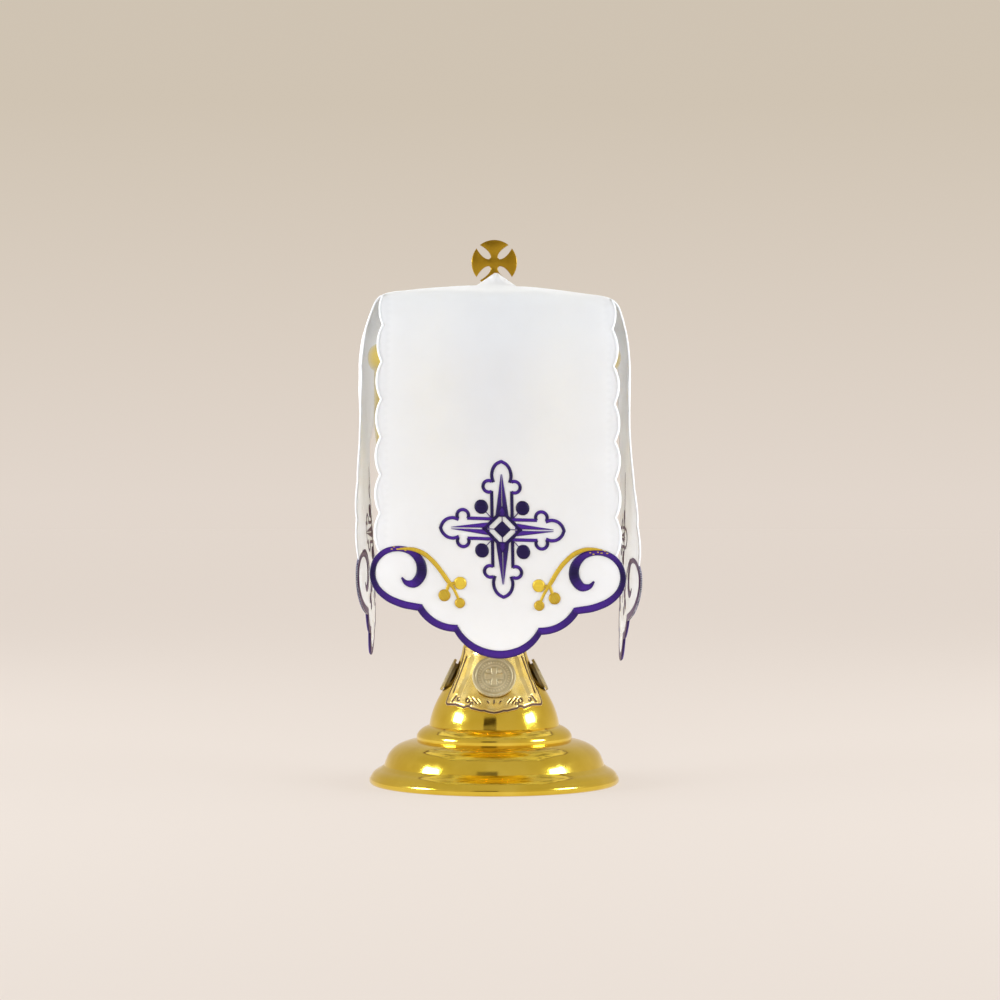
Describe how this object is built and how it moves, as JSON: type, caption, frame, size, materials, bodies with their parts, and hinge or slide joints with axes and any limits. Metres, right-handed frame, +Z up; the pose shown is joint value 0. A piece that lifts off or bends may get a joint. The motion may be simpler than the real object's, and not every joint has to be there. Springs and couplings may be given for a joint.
{
  "type": "pyx veil and ciborium",
  "caption": "White satin ciborium veil cut as a plus, scalloped and embroidered in purple and gold, draped over a lidded gilt ciborium with a cross finial.",
  "frame": {"origin": "centre of the underside of the ciborium's foot", "axes": "+Z up along the ciborium's axis; -Y towards the front flap of the veil; +X to the right seen from the front"},
  "size_m": [0.1452, 0.144, 0.2821],
  "materials": {
    "satin": "satin weave, white",
    "purple_thread": "satin stitch, lustrous",
    "gold_thread": "satin stitch, lustrous",
    "gilt": "polished gold plate",
    "silver": "aged silver"
  },
  "bodies": {
    "root": {"veil": "satin", "border_front": "purple_thread", "cross_front": "purple_thread", "sprig_front_left": "gold_thread", "sprig_front_right": "gold_thread", "border_right": "purple_thread", "cross_right": "purple_thread", "sprig_right_left": "gold_thread", "sprig_right_right": "gold_thread", "border_back": "purple_thread", "cross_back": "purple_thread", "sprig_back_left": "gold_thread", "sprig_back_right": "gold_thread", "border_left": "purple_thread", "cross_left": "purple_thread", "sprig_left_left": "gold_thread", "sprig_left_right": "gold_thread", "foot": "gilt", "panel_front": "gilt", "panel_back": "gilt", "stem": "gilt", "bowl": "gilt", "lid": "gilt", "finial": "gilt", "medallion_front": "silver", "medallion_right": "silver", "medallion_back": "silver", "medallion_left": "silver"}
  },
  "joints": []
}
